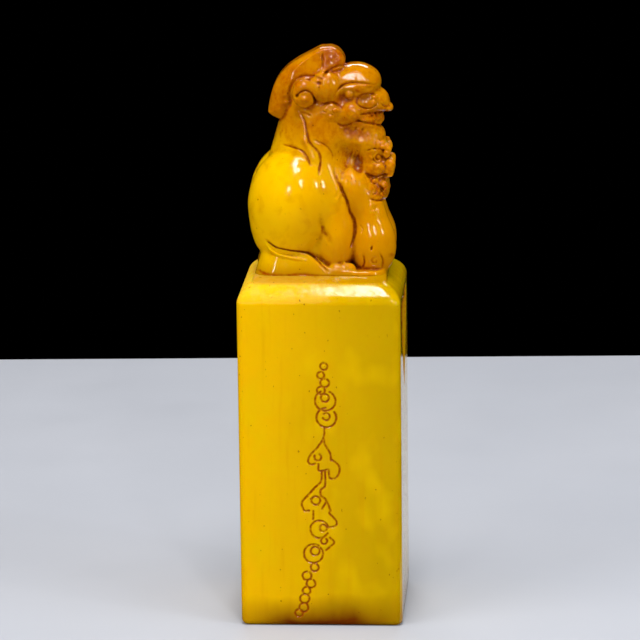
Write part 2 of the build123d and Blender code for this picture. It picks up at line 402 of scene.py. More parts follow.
# Flats of brow and nose: the way each faces, a point on it, and the radius of the large ball
# whose skin cuts it
BROW_FLAT = ((-0.099, -0.96, 0.262), (5.1, -3.6, 83.6), 60)
NOSE_FLAT = ((0.159, -0.924, 0.348), (7.8, -2.2, 81.4), 12)

# Seat line between the beast and its plinth, and the ridge below it
SEAT_LINE = (
    (-8.8, 58.5), (-8.0, 57.8), (-7.0, 57.2), (-5.0, 56.75), (-3.0, 56.5), (-1.8, 56.0),
    (-0.8, 55.1), (0.0, 54.3), (0.8, 53.4),
)
SEAT_RIDGE = (
    (-8.7, 57.6), (-8.0, 56.75), (-7.0, 56.1), (-5.6, 55.7), (-4.2, 55.45), (-2.6, 55.2),
)

# Strokes as they show from the side, as (points, width, depth, stain), some also with the
# share that fades at each end and how far out they start. A depth below zero raises a ridge.
BODY_STROKES = (
    (SEAT_LINE, 0.13, 0.36, 0.6, 0.1, 2.0),
    (SEAT_RIDGE, 0.17, -0.36, 0.0, 0.25, 3.0),
    # Folds of the flank and the foreleg
    (((-0.3, 63.2), (-0.2, 61), (0.1, 60), (0.8, 59), (1.5, 57.5)), 0.35, 0.14, 0.3),
    (((1.9, 69.9), (2.3, 68), (2.8, 67), (3.3, 65.8), (3.9, 64.5), (4.3, 62.6)),
     0.2, 0.34, 0.55, 0.25, 2.0),
    (((4.3, 62.8), (4.95, 61.6), (5.1, 60), (4.7, 58.2), (4.2, 57.0)), 0.17, 0.26, 0.5),
    # Mane, collar and throat
    (((-3.3, 78.6), (-2.5, 77), (-2.1, 74.8), (-1.7, 73.6), (-0.5, 72.2), (-0.15, 71),
      (-0.35, 69.4), (-0.5, 68.6)), 0.15, 0.36, 0.75, 0.25, 2.0),
    (((-3.2, 78.4), (-2.4, 78.3), (-1.5, 77.8)), 0.13, 0.25, 0.6),
    (((-6.0, 73.4), (-4.5, 73), (-3, 72.4), (-2.2, 71.4), (-1.7, 70)),
     0.15, 0.32, 0.65, 0.25, 2.0),
    (((-3.0, 74.6), (-2.3, 73.4), (-1.6, 71.8), (-1.3, 70.6)), 0.3, -0.3, 0.0),
    (((-1.1, 74.0), (0.4, 73.4), (1.5, 72.3), (1.8, 71.0)), 0.13, 0.22, 0.5),
    (((2.2, 76.8), (3.4, 76.3), (5.0, 76.8), (6.4, 77.4)), 0.16, 0.25, 0.6),
    # Ribs in the hollow of the chest
    (((4.2, 71.0), (4.7, 72.0), (4.9, 73.2)), 0.14, 0.16, 0.0),
    (((4.75, 71.0), (5.25, 72.0), (5.45, 73.2)), 0.14, 0.16, 0.0),
    (((5.3, 71.0), (5.8, 72.0), (6.0, 73.2)), 0.14, 0.16, 0.0),
)
HEAD_STROKES = (
    # Crest and ear
    (((0.3, 85.2), (0.35, 86.4), (0.3, 87.6)), 0.13, 0.3, 0.4),
    (((-4.6, 79.0), (-4.75, 81.6), (-4.0, 83.2), (-2.6, 84.0), (-0.8, 83.9)), 0.22, 0.3, 0.55),
    (((-3.8, 80.7), (-3.4, 81.3), (-2.4, 81.8), (-1.5, 81.4), (-1.05, 80.6), (-0.95, 79.8)),
     0.16, 0.4, 0.7),
    (((-1.0, 84.0), (0.2, 83.6), (0.9, 84.6), (2.2, 85.4), (3.7, 85.8)), 0.18, 0.35, 0.6),
    # Cheek, brow, nostril and mouth
    (((0.1, 79.5), (1.0, 79.8), (2.0, 79.9), (3.2, 79.0)), 0.16, 0.35, 0.75),
    (((2.3, 81.2), (2.8, 82.1), (3.6, 82.7), (4.8, 83.0), (6.4, 82.9), (8.2, 82.7)),
     0.15, 0.3, 0.45),
    (((8.9, 80.9), (7.6, 81.3), (6.1, 81.0), (5.5, 80.0), (6.2, 79.2), (7.6, 79.0),
      (8.7, 79.7), (8.2, 80.4), (7.1, 80.2)), 0.14, 0.2, 0.5, 0.3),
    (((9.2, 79.7), (9.9, 79.3), (10.6, 79.4)), 0.14, 0.25, 0.5),
    (((5.9, 78.0), (7.2, 78.2), (8.6, 78.35), (9.8, 78.5), (11.0, 78.4)),
     0.17, 0.4, 0.75, 0.1),
    (((4.9, 77.4), (6.4, 76.9), (8.0, 76.6), (9.4, 76.3)), 0.16, 0.35, 0.7),
    # Beard
    (((6.8, 68.8), (8.2, 68.4), (9.6, 68.7), (11.0, 68.6)), 0.15, 0.35, 0.55),
    (((6.9, 72.4), (8.0, 72.7), (9.4, 72.6), (10.7, 72.3)), 0.13, 0.25, 0.5),
    (((7.4, 64.9), (8.6, 64.6), (10.0, 64.9)), 0.16, 0.35, 0.7),
)
FOOT_STROKES = (
    # Toes, and the fold of the wrist
    (((8.9, 56.3), (9.3, 55.2), (9.2, 54.2)), 0.13, 0.3, 0.45),
    (((6.3, 56.2), (6.5, 55.0), (6.2, 54.0)), 0.13, 0.3, 0.45),
    (((5.7, 60.9), (6.2, 60.2), (6.0, 59.4)), 0.12, 0.15, 0.25),
    # Foot of the plinth
    (((-10.2, 53.7), (-8.5, 52.9), (-6.0, 52.7), (-3.0, 52.9), (0.0, 52.6), (5.0, 52.5),
      (8.5, 52.6)), 0.2, 0.12, 0.7, 0.05, 4.0),
)

# Curls, as (middle, outer radius, inner radius, start angle, turns), with the width, depth,
# stain and fading of their line: eye, cheek, beard and paw
CURLS = (
    ((4.5, 81.2), 1.0, 0.95, 170, 0.5, 0.13, 0.14, 0.35, 0.4),
    ((0.7, 78.7), 0.6, 0.2, 40, 0.9, 0.11, 0.2, 0.45),
    ((2.2, 78.6), 0.65, 0.2, 40, 0.9, 0.11, 0.2, 0.45),
    ((1.5, 77.6), 0.55, 0.2, 40, 0.9, 0.11, 0.2, 0.45),
    ((8.8, 71.3), 1.0, 0.25, 90, 1.6, 0.12, 0.25, 0.35),
    ((8.1, 67.6), 0.62, 0.15, 30, 1.1, 0.11, 0.25, 0.55),
    ((9.6, 67.0), 0.66, 0.15, 120, 1.1, 0.11, 0.25, 0.55),
    ((8.0, 66.0), 0.5, 0.15, 200, 1.1, 0.11, 0.25, 0.55),
    ((9.3, 65.6), 0.45, 0.15, 60, 1.1, 0.11, 0.25, 0.55),
    ((8.1, 55.1), 0.6, 0.15, 60, 1.0, 0.11, 0.2, 0.45),
)

# Soft oval hollows, as (middle, half sizes, depth, stain, bumps, tilt)
HOLLOWS = (
    # Chest and throat
    ((3.8, 71.4), (2.2, 2.4), 1.0, 0.35), ((5.7, 70.2), (0.8, 1.5), 0.9, 0.75),
    ((5.6, 75.3), (2.6, 1.2), 0.3, 0.65),
    # Ear, and the dent between ear and crest
    ((-2.4, 80.9), (1.3, 1.2), 0.45, 0.25), ((-3.6, 81.0), (0.25, 0.25), 0.4, 0.8),
    ((-2.5, 80.4), (0.6, 0.45), -0.35, 0.0), ((-0.2, 82.9), (0.4, 0.3), 0.4, 0.8),
    # Corners of the eye, and the swellings of the cheek curls
    ((3.2, 80.6), (0.5, 0.8), 0.1, 0.55), ((5.9, 81.9), (0.7, 0.5), 0.15, 0.6),
    ((0.7, 78.7), (0.6, 0.6), -0.3, 0.0), ((2.2, 78.6), (0.65, 0.65), -0.3, 0.0),
    ((1.5, 77.6), (0.55, 0.55), -0.3, 0.0),
    # Drill holes of beard and paw
    ((9.3, 66.4), (0.25, 0.3), 0.4, 0.9), ((7.6, 57.1), (0.16, 0.4), 0.35, 0.7, 0.0, -10),
)

# Stained patches, and patches of painted shade, as (middle, half sizes, amount)
STAINS_AND_PAINTED_SHADE = (
    # Crest: a rust stain on its curl, and painted shade over its back
    ((1.8, 87.0), (2.4, 2.2), 0.8), ((-6.2, 80.2), (1.8, 2.6), 0.42),
    ((-4.2, 83.8), (2.8, 2.4), 0.5),
    # Ear, cheek, chin and throat stains, and painted shade on the nape
    ((-0.5, 79.5), (3.2, 2.2), 0.34), ((4.0, 79.6), (2.4, 2.0), 0.28),
    ((8.5, 78.0), (2.4, 1.5), 0.5), ((1.0, 76.2), (3.6, 3.2), 0.27),
    ((6.5, 77.0), (3.5, 2.2), 0.45),
    # Beard, chest and paw
    ((9.0, 69.5), (2.8, 5.0), 0.42), ((9.0, 66.4), (2.0, 1.8), 0.65),
    ((4.0, 71.5), (2.6, 3.0), 0.3), ((10.6, 56.0), (0.5, 0.4), 0.5),
)

# Patches where the carving is left rough, as (middle, half sizes, height, tilt)
ROUGH_PATCHES = (
    # Nose, snout, chin, beard and throat
    ((8.0, 81.5), (1.6, 1.1), 0.09, -20), ((7.0, 78.8), (4.5, 3.0), 0.1),
    ((8.2, 77.6), (2.0, 1.0), 0.15), ((9.0, 69.6), (2.6, 4.8), 0.17),
    ((5.5, 75.2), (3.2, 1.6), 0.14),
    # Cheek curls, temple and crest
    ((1.4, 78.4), (1.8, 1.4), 0.1), ((0.6, 84.2), (1.6, 0.9), 0.14),
    ((2.4, 86.8), (1.5, 1.5), 0.08), ((-5.3, 80.3), (0.6, 0.7), 0.25),
    # Toes, wrist and flank
    ((3.4, 54.6), (1.4, 0.9), 0.16), ((8.0, 63.2), (0.5, 1.2), 0.25),
    ((3.0, 66.0), (0.8, 3.5), 0.2, -20),
)

# Beard: its knobs as they show from the side, how far out its locks hang, and its curls with
# their sizes
BEARD_KNOBS = ((7.9, 73.2), (8.65, 73.65), (9.4, 73.6), (10.05, 73.25))
BEARD_LOCKS = (0.6, 1.8, 2.9)
BEARD_CURLS = ((8.0, 67.6, 0.72), (9.5, 67.0, 0.75), (8.0, 66.0, 0.6), (9.2, 65.6, 0.55))


def sculpt_body(clay):
    """Trunk, haunch, legs and paws of the near side, as plain rounded masses."""
    # Trunk, belly, throat and chest
    clay.limb((-1.7, 0, 65.0), (-0.5, 0, 78.0), 8.2, 5.6, flat=0.9)
    clay.egg((-0.5, 0, 60.5), (8.4, 6.6, 7.0), reach=1.0)
    clay.egg((5.0, 0, 74.4), (4.0, 3.9, 3.8), reach=1.2)
    clay.egg((5.0, 0, 69.0), (3.9, 3.6, 5.4), reach=1.0)
    # Haunch, rump, the stump of the tail, flank and hind foot
    clay.egg((-4.0, -2.6, 64.9), (7.2, 6.8, 8.7), lean=6, reach=0.35)
    clay.egg((-5.3, -1.6, 60.4), (5.2, 6.0, 5.4), reach=1.5)
    clay.egg((-9.6, 0.0, 68.3), (1.0, 1.6, 1.1), reach=0.4)
    clay.egg((1.3, -3.4, 64.5), (3.6, 3.6, 8.2), lean=-10, reach=0.9)
    clay.egg((2.5, -4.3, 59.8), (2.9, 3.2, 5.4), reach=0.8)
    # Shoulder, foreleg, paw, and the stone between the paws
    clay.egg((5.3, -3.4, 66.7), (2.4, 2.8, 4.6), lean=-12, reach=0.5)
    clay.limb((6.6, -2.8, 66.0), (8.0, -3.5, 60.0), 2.7, 3.0, reach=0.7)
    clay.egg((8.0, -3.3, 58.3), (3.55, 3.7, 4.8), reach=0.8)
    clay.egg((6.0, 0, 58.0), (4.0, 3.4, 6.0), reach=0.8)


def sculpt_plinth(clay):
    """Rock plinth: drafted sides, high under the haunches and low under the paws."""
    window = clay.window(CLAY_LOW, (CLAY_HIGH[0], 0, KNOB_FLOOR + 6))
    x, y, z = clay.grid(window)
    draft = np.maximum(z - KNOB_FLOOR, 0) * np.float32(ROCK_DRAFT)
    over_x = np.abs(x) - (PLINTH_HALF[0] - ROCK_CORNER) + draft
    over_y = np.abs(y) - (PLINTH_HALF[1] - ROCK_CORNER) + draft
    sides = np.sqrt(np.maximum(over_x, 0) ** 2 + np.maximum(over_y, 0) ** 2) - ROCK_CORNER
    sides = sides + np.minimum(np.maximum(over_x, over_y), 0)
    step = ROCK_STEP / (1 + np.exp((x - ROCK_STEP_X) / ROCK_STEP_RUN))
    clay.join(window, np.maximum(sides, z - (KNOB_FLOOR + ROCK_LOW + step)), reach=0.3)


def cut_flat(clay, facing, place, ball):
    """Cut a flat that faces `facing` through a point, with the skin of a large ball."""
    middle = np.array(place) + ball * np.array(facing)
    clay.press(middle, (ball, ball, ball), reach=0.1)


def sculpt_head(clay):
    """Skull, snout, jaw, brow, cheek, ear and crest."""
    # Skull, crest, the curl at its front, and cheek
    clay.egg((1.6, 0, 81.0), (5.6, 4.6, 4.9), lean=-3, reach=0.8)
    clay.plate(CREST_OUTLINE, CREST_HALF_WIDTH, CREST_RIM, reach=0.25)
    clay.plate(CURL_OUTLINE, CURL_HALF_WIDTH, CURL_RIM, reach=0.2)
    clay.egg((4.5, 0, 78.5), (4.0, 4.1, 2.9), reach=0.8)
    # Snout with its flat, nose, lower jaw and chin
    clay.limb((4.8, 0, 80.9), (8.4, 0, 80.3), 3.0, 2.15, flat=1.15, reach=0.6)
    cut_flat(clay, *NOSE_FLAT)
    clay.limb((8.2, 0, 80.0), (10.25, 0, 79.2), 2.2, 0.85, flat=1.5, reach=0.5)
    clay.limb((5.2, 0, 77.6), (8.7, 0, 77.6), 2.0, 0.95, flat=1.7, reach=0.4)
    clay.limb((6.0, 0, 76.0), (8.6, 0, 75.2), 2.2, 1.2, flat=1.5, reach=0.6)
    # Brow with its flat, and the socket of the eye
    clay.egg((5.6, 0, 83.35), (3.75, 4.3, 2.85), lean=4, reach=0.4)
    cut_flat(clay, *BROW_FLAT)
    clay.press((4.5, -4.75, 81.0), (2.5, 1.7, 2.05), reach=0.15)
    # Ear, temple, cheekbone and eye
    clay.egg(at(-2.5, 81.3, 4.9), (1.9, 1.5, 2.2), turn=10, reach=0.25)
    clay.egg(at(0.6, 82.3, 3.6), (2.4, 1.6, 2.4), reach=0.6)
    clay.egg(at(4.7, 78.4, 3.2), (1.6, 1.2, 1.5), reach=0.5)
    clay.egg(at(4.35, 81.3, 3.1), (0.68, 0.7, 0.66), reach=0.2)


def sculpt_beard(clay):
    """Curled beard that hangs from the chin to the forelegs."""
    clay.limb((6.4, 0, 77.0), (8.0, 0, 72.5), 2.5, 2.4, flat=1.4, reach=0.6)
    clay.egg((8.6, 0, 70.2), (2.7, 3.7, 2.4), reach=0.4)
    clay.egg((8.8, 0, 73.0), (1.7, 3.3, 1.7), reach=0.3)
    clay.egg((8.4, 0, 67.0), (2.1, 3.4, 3.0), reach=0.4)
    for along, up in BEARD_KNOBS:
        clay.limb(at(along, up, 2.8), at(along, up - 0.8, 3.1), 0.46, 0.36, reach=0.12)
    for across in BEARD_LOCKS:
        clay.limb((10.35, -across, 73.1), (10.2, -across, 72.2), 0.6, 0.5, reach=0.15)
        clay.limb((10.75, -across, 71.0), (10.6, -across, 69.4), 0.72, 0.6, reach=0.2)
    for along, up, size in BEARD_CURLS:
        clay.egg(at(along, up, 3.1), (size, 0.6, size), reach=0.2)


def sculpt_toes(clay):
    """Pad of the hind toes, which stands out of the plinth before the haunch."""
    clay.limb((2.4, -6.4, 55.1), (4.4, -6.26, 55.1), 1.15, 1.1, reach=0.4)


def carve(clay):
    """Lines, curls, hollows and rough patches cut into the masses, their stain, and patches of stain and
    of painted shade.
    """
    for points, *cut in BODY_STROKES + HEAD_STROKES + FOOT_STROKES:
        clay.stroke(smooth_line(points), *cut)
    for middle, outer, inner, start, turns, *cut in CURLS:
        clay.stroke(spiral(middle, outer, inner, start, turns), *cut)
    for hollow in HOLLOWS:
        clay.patch(*hollow)
    # Stained patches, and painted shade on the crest's back and the nape
    for middle, radii, stain_and_shade in STAINS_AND_PAINTED_SHADE:
        clay.patch(middle, radii, stain_and_shade=stain_and_shade)
    for middle, radii, *bumps in ROUGH_PATCHES:
        clay.patch(middle, radii, 0.0, 0.0, *bumps)
    clay.field += UNEVEN_HEIGHT * grainy(clay.field.shape, UNEVEN_CELL, clay.pitch, SEED + 1)


def sculpt_knob():
    """The whole knob, cut out of one block, stained in its recesses, and mirrored."""
    clay = Clay(CLAY_LOW, CLAY_HIGH, CLAY_PITCH * (1))
    sculpt_body(clay)
    sculpt_plinth(clay)
    sculpt_head(clay)
    sculpt_beard(clay)
    sculpt_toes(clay)
    carve(clay)

    field = np.concatenate((clay.field, clay.field[:, -2::-1]), axis=1)
    stain_and_shade = np.concatenate((clay.stain_and_shade, clay.stain_and_shade[:, -2::-1]), axis=1)
    field[:, :, 0] = FAR_AWAY
    field = drop_crumbs(field)
    points, faces = skin(field, clay.low, clay.pitch)
    solid = (field < 0).astype(np.float32)
    crowded = soften(solid, int(round(RECESS_REACH / clay.pitch)))
    fullness = read_block(crowded, clay.low, clay.pitch, points)
    recess = np.clip((fullness - RECESS_START) * RECESS_GAIN, 0, 1)
    # The mark holds the rust stain of lines, hollows and recesses, and the painted shade of the crest's
    # back and the nape
    marks = {"stain_and_shade": np.clip(read_block(stain_and_shade, clay.low, clay.pitch, points) + recess, 0, 1)}
    far = np.maximum(points[:, 1], 0)
    points[:, 0] -= FAR_SIDE_SHIFT * (np.sqrt(far * far + 1) - 1)
    return make_mesh("carved_knob", points, faces, marks)


# Column: the same sizes as the solid's, for a finer mesh. The shoulders start a little below
# the shaft's height and swell, after a short plain gap, and the top rises from a lip at its
# rim to the knob's floor.
COLUMN_HALF = 12.5
COLUMN_HEIGHT = 51.2
COLUMN_CORNER = 1.2
FOOT_RADIUS = 0.9
SHOULDER_INSET = 2.2
SHOULDER_RISE = 2.6
SHOULDER_CORNER = 1.6
SHOULDER_GAP, SHOULDER_START = 0.4, 0.25
SHOULDER_SWELL, SHOULDER_POWER = 0.16, 1.25
TOP_LIP, TOP_RISE, TOP_CORNER = 0.1, 0.6, 3.2
TOP_MIDDLE = (6.0, 4.0, 2.0)
POCKET_HALF = 10.2
POCKET_DEPTH = 2.0
POCKET_CORNER = 0.02

# Front ornament: a string of beads and rings with leaf scrolls between them, as (x, z) on
# the front face. Rings are (x, z, radius, angle where they open, share of a turn).
BEADS = (
    (0.78, 41.3, 0.55, 0.9), (0.3, 39.9, 0.55, 0.9), (0.88, 38.7, 0.68, 0.9), (0.3, 37.5, 0.6, 0.9),
    (-1.0, 9.4, 0.62, 0.9), (-2.2, 8.05, 0.68, 0.9), (-1.6, 6.8, 0.68, 0.9), (-2.3, 5.65, 0.6, 0.9),
    (-2.6, 4.35, 0.74, 0.9), (-2.75, 2.95, 0.7, 0.9), (-3.5, 2.05, 0.6, 1.0),
)
RINGS = (
    (0.95, 35.9, 1.6, 115, 0.86), (0.9, 36.35, 0.62, 80, 1.0), (1.1, 33.25, 1.55, 95, 0.84),
    (1.05, 33.4, 0.55, 200, 0.8), (-0.2, 15.5, 1.42, 25, 0.86), (0.4, 15.7, 0.55, 0, 1.0),
    (-1.15, 11.6, 1.5, 60, 0.95), (-0.9, 12.0, 0.7, 0, 1.0), (-0.7, 20.1, 0.68, 0, 1.0),
    (0.5, 13.65, 0.5, 120, 0.8), (-0.3, 27.0, 0.55, 150, 0.75),
)
SCROLLS = (
    ((0.75, 31.7), (0.62, 30.1), (-0.28, 28.6), (-1.4, 27.35), (-1.82, 26.4), (-1.42, 25.85),
     (-0.74, 25.95)),
    ((0.62, 30.1), (0.83, 28.95), (1.58, 27.7), (1.72, 26.5)),
    ((1.72, 26.7), (2.9, 25.7), (2.96, 24.7), (2.46, 23.72), (1.46, 23.72), (1.3, 25.0),
     (0.48, 24.85), (-0.2, 24.9), (-0.23, 25.9)),
    ((0.3, 24.7), (0.12, 23.1), (-0.99, 22.0), (-1.8, 21.0), (-2.75, 19.97), (-2.82, 19.3),
     (-2.45, 18.5), (-1.76, 18.5)),
    ((0.78, 24.8), (0.75, 22.5), (0.1, 21.8), (0.1, 20.9), (0.88, 20.15), (0.3, 18.8)),
    ((0.88, 20.15), (1.2, 19.5), (1.55, 18.5), (1.4, 18.1), (2.38, 16.9), (2.3, 16.1), (1.0, 15.8)),
    ((-1.1, 18.4), (-1.15, 17.1)),
    ((1.43, 14.2), (2.03, 13.35), (0.8, 12.2)),
    ((-2.43, 20.4), (-0.99, 21.9)),
)

# Hanging leaf on the side below the beast's face, filled with red paste, as (y, z): its
# outline, and its ribs, which stay bare
LEAF_OUTLINE = (
    (0.0, 35.4), (1.9, 37.6), (4.6, 41.2), (7.0, 45.0), (8.2, 48.4), (7.2, 50.0), (3.6, 50.4), (0.0, 49.6),
    (-3.6, 50.4), (-7.2, 50.0), (-8.2, 48.4), (-7.0, 45.0), (-4.6, 41.2), (-1.9, 37.6),
)
LEAF_RIBS = (
    ((0.0, 37.6), (0.0, 43.0), (0.0, 48.6)),
    ((0.2, 39.6), (2.0, 42.0), (3.4, 45.0)), ((-0.2, 39.6), (-2.0, 42.0), (-3.4, 45.0)),
    ((0.2, 42.8), (2.4, 45.4), (4.2, 48.6)), ((-0.2, 42.8), (-2.4, 45.4), (-4.2, 48.6)),
)
LEAF_EDGE = 0.25

# Incised lines: half width, depth, how far out they count, and how soft their stain is
LINE_WIDTH = 0.14
LINE_DEPTH = 0.16
LINE_REACH = 0.8
LINE_SOFTNESS = 0.6

# Fine mesh: its step, the parts of front and side that get it, the bare end of the shaft, and
# how near a point of it must be to a side to be on it
FINE_STEP = 0.1
FRONT_BAND = (-5.0, 4.4)
SIDE_BAND = (-8.6, 8.6)
SHAFT_END = 0.6
ON_SIDE = 0.01


def front_lines():
    """Every incised line of the front ornament."""
    lines = [smooth_line(points) for points in SCROLLS]
    for x, z, radius, turn in BEADS:
        lines.append(spiral((x, z), radius, radius, 90, turn, steps=18))
    for x, z, radius, opening, turn in RINGS:
        lines.append(spiral((x, z), radius, radius * 0.97, opening, turn, steps=26))
    return lines


def line_marks(along, up, lines):
    """How strongly the lines mark each place of a face, from 0 to 1."""
    marks = np.zeros(len(along))
    places = np.stack((along, up), 1)
    for line in lines:
        away = np.abs(places - (line.max(0) + line.min(0)) / 2)
        near = np.all(away < np.ptp(line, axis=0) / 2 + LINE_REACH, axis=1)
        distance, _ = distance_to_line(along[near], up[near], line)
        marks[near] = np.maximum(marks[near], np.exp(-((distance / LINE_WIDTH) ** 2)))
    return marks


def leaf_marks(y, z):
    """How deep the hanging leaf is cut at each place of the side, from 0 to 1."""
    outline = smooth_line(LEAF_OUTLINE, closed=True)
    edge, _ = distance_to_line(y, z, outline)
    sunk = np.where(is_inside(y, z, outline), np.clip(edge / LEAF_EDGE, 0, 1), 0)
    ribs = line_marks(y, z, [smooth_line(points) for points in LEAF_RIBS])
    return sunk * (1 - ribs)


def rows_of_column():
    """The column's levels from the pocket round to the top, as (z, half x, half y, corner)."""
    rows = [(z, POCKET_HALF, POCKET_HALF, POCKET_CORNER) for z in (POCKET_DEPTH, 0.0)]
    for angle in np.radians(np.linspace(0, 90, 8)):
        inset = FOOT_RADIUS * (1 - sin(angle))
        half = COLUMN_HALF - inset
        rows.append((FOOT_RADIUS * (1 - cos(angle)), half, half, COLUMN_CORNER - inset))
    for z in np.arange(FOOT_RADIUS + FINE_STEP, COLUMN_HEIGHT - SHOULDER_GAP, FINE_STEP):
        rows.append((z, COLUMN_HALF, COLUMN_HALF, COLUMN_CORNER))
    start = COLUMN_HEIGHT - SHOULDER_START
    climb = SHOULDER_START + SHOULDER_RISE - TOP_LIP
    for share in np.linspace(0, 1, 26):
        swell = share - SHOULDER_SWELL * sin(pi * share)
        half = COLUMN_HALF - SHOULDER_INSET * swell**SHOULDER_POWER
        corner = COLUMN_CORNER + (SHOULDER_CORNER - COLUMN_CORNER) * share
        rows.append((start + climb * share, half, half, corner))
    last = COLUMN_HALF - SHOULDER_INSET
    for share in np.linspace(0.02, 1, 12):
        half_x = last + (PLINTH_HALF[0] - last) * share
        half_y = last + (PLINTH_HALF[1] - last) * share
        corner = SHOULDER_CORNER + (TOP_CORNER - SHOULDER_CORNER) * share
        rise = COLUMN_HEIGHT + SHOULDER_RISE + TOP_RISE * share
        rows.append((rise - TOP_LIP * (1 - share) ** 8, half_x, half_y, corner))
    rows.append((KNOB_FLOOR, *TOP_MIDDLE))
    return rows


def shares_of_sides():
    """Where the points of each side lie, as shares of half its flat: front, +X, back, -X."""
    flat = COLUMN_HALF - COLUMN_CORNER
    fine = []
    for low, high in (FRONT_BAND, SIDE_BAND):
        band = np.arange(low, high, FINE_STEP)
        parts = (np.linspace(-flat, low, 8)[:-1], band, np.linspace(band[-1], flat, 9)[1:])
        fine.append(np.concatenate(parts) / flat)
    plain_shares = np.linspace(-1, 1, 25)
    return (*fine, plain_shares, plain_shares)


def points_of_level(sides, z, half_x, half_y, corner):
    """The points of one rounded outline, side by side, each with the corner after it."""
    points = []
    corner_angles = np.radians(np.linspace(0, 90, 9))[1:-1]
    for side, shares in enumerate(sides):
        turn = side * pi / 2
        across, out = (half_x, half_y) if side % 2 == 0 else (half_y, half_x)
        local = [(share * (across - corner), -out) for share in shares]
        local += [
            (across - corner + corner * sin(angle), -out + corner - corner * cos(angle))
            for angle in corner_angles
        ]
        points += [(x * cos(turn) - y * sin(turn), x * sin(turn) + y * cos(turn), z) for x, y in local]
    return points


def engrave(points):
    """Sink the front ornament and the leaf into the shaft, and give the marks they leave."""
    on_shaft = (points[:, 2] > FOOT_RADIUS) & (points[:, 2] < COLUMN_HEIGHT - SHAFT_END)
    front = on_shaft & (points[:, 1] < ON_SIDE - COLUMN_HALF)
    side = on_shaft & (points[:, 0] > COLUMN_HALF - ON_SIDE)
    lines, leaf = np.zeros(len(points)), np.zeros(len(points))
    lines[front] = line_marks(points[front, 0], points[front, 2], front_lines())
    leaf[side] = leaf_marks(points[side, 1], points[side, 2])
    points[:, 1] += LINE_DEPTH * lines
    points[:, 0] -= LINE_DEPTH * leaf
    return {"stain_and_shade": lines**LINE_SOFTNESS, "paint": leaf}


def build_column():
    """Column mesh: levels of one rounded outline, engraved on the front and the +X side."""
    sides, rows = shares_of_sides(), rows_of_column()
    points = np.array([point for row in rows for point in points_of_level(sides, *row)])
    marks = engrave(points)
    around = len(points) // len(rows)
    level, place = np.meshgrid(np.arange(len(rows) - 1), np.arange(around), indexing="ij")
    after = (place + 1) % around
    under, over = level * around, (level + 1) * around
    faces = np.stack((under + place, under + after, over + after, over + place), -1)
    faces = faces.reshape(-1, 4).tolist()
    faces.append(list(range(around))[::-1])
    faces.append(list(range((len(rows) - 1) * around, len(rows) * around)))
    return make_mesh("engraved_column", points, faces, marks)


class Shader:
    """Short ways to add and link the nodes of one material."""

    def __init__(self, name):
        self.material = bpy.data.materials.new(name)
        self.material.use_nodes = True
        self.tree = self.material.node_tree
        self.shader = self.tree.nodes["Principled BSDF"]
        self.place = self.node("ShaderNodeTexCoord").outputs["Object"]

    def node(self, kind, **settings):
        made = self.tree.nodes.new(kind)
        for name, value in settings.items():
            setattr(made, name, value)
        return made

    def feed(self, socket, value):
        if isinstance(value, bpy.types.NodeSocket):
            self.tree.links.new(value, socket)
        else:
            socket.default_value = value

    def math(self, operation, a, b=0.0, clamp=False):
        made = self.node("ShaderNodeMath", operation=operation, use_clamp=clamp)
        self.feed(made.inputs[0], a)
        self.feed(made.inputs[1], b)
        return made.outputs[0]

    def between(self, value, low, high, start=0.0, end=1.0):
        made = self.node("ShaderNodeMapRange", clamp=True)
        for socket, part in zip(made.inputs, (value, low, high, start, end)):
            self.feed(socket, part)
        return made.outputs[0]

    def mix(self, share, first, second):
        made = self.node("ShaderNodeMix", data_type="RGBA")
        self.feed(made.inputs[0], share)
        self.feed(made.inputs[6], first)
        self.feed(made.inputs[7], second)
        return made.outputs[2]

    def noise(self, size, detail=3.0, stretch=(1, 1, 1), roughness=0.5, distortion=0.0):
        """Noise whose spots are about `size` millimetres across, times the stretch."""
        mapping = self.node("ShaderNodeMapping")
        self.feed(mapping.inputs[0], self.place)
        mapping.inputs["Scale"].default_value = [1 / (size * MM * part) for part in stretch]
        made = self.node("ShaderNodeTexNoise")
        self.feed(made.inputs["Vector"], mapping.outputs[0])
        values = {"Scale": 1.0, "Detail": detail, "Roughness": roughness, "Distortion": distortion}
        for socket, value in values.items():
            made.inputs[socket].default_value = value
        return made.outputs["Fac"]

    def bump(self, height, depth):
        made = self.node("ShaderNodeBump")
        made.inputs["Strength"].default_value = 1.0
        made.inputs["Distance"].default_value = depth * MM
        self.feed(made.inputs["Height"], height)
        self.feed(self.shader.inputs["Normal"], made.outputs[0])


def rgb(red, green, blue):
    """A colour given in the 0 to 255 steps of a picture, as the shader's linear values."""
    parts = np.array((red, green, blue)) / 255
    linear = np.where(parts < 0.04045, parts / 12.92, ((parts + 0.055) / 1.055) ** 2.4)
    return [*linear.tolist(), 1.0]


# Colours of the stone
LEMON = rgb(232, 180, 0)
OLIVE = rgb(186, 150, 0)
GOLD = rgb(226, 184, 0)
HONEY = rgb(200, 133, 0)
AMBER = rgb(190, 121, 0)
FOOT_BROWN = rgb(106, 46, 2)
UMBER = rgb(164, 112, 0)
# Rust, which is also the colour of the painted shade on the knob
RUST_AND_SHADE = rgb(156, 70, 0)
DEEP_RUST = rgb(112, 40, 2)
RED_PASTE = rgb(150, 34, 18)
SPECK = rgb(110, 56, 4)

# Polish of the stone, and the light under its surface
STONE_INPUTS = {
    "Subsurface Weight": 0.5,
    "Subsurface Radius": (1.0, 0.45, 0.05),
    "Subsurface Scale": 1.6 * MM,
    "Specular IOR Level": 0.5,
    "IOR": 1.5,
}


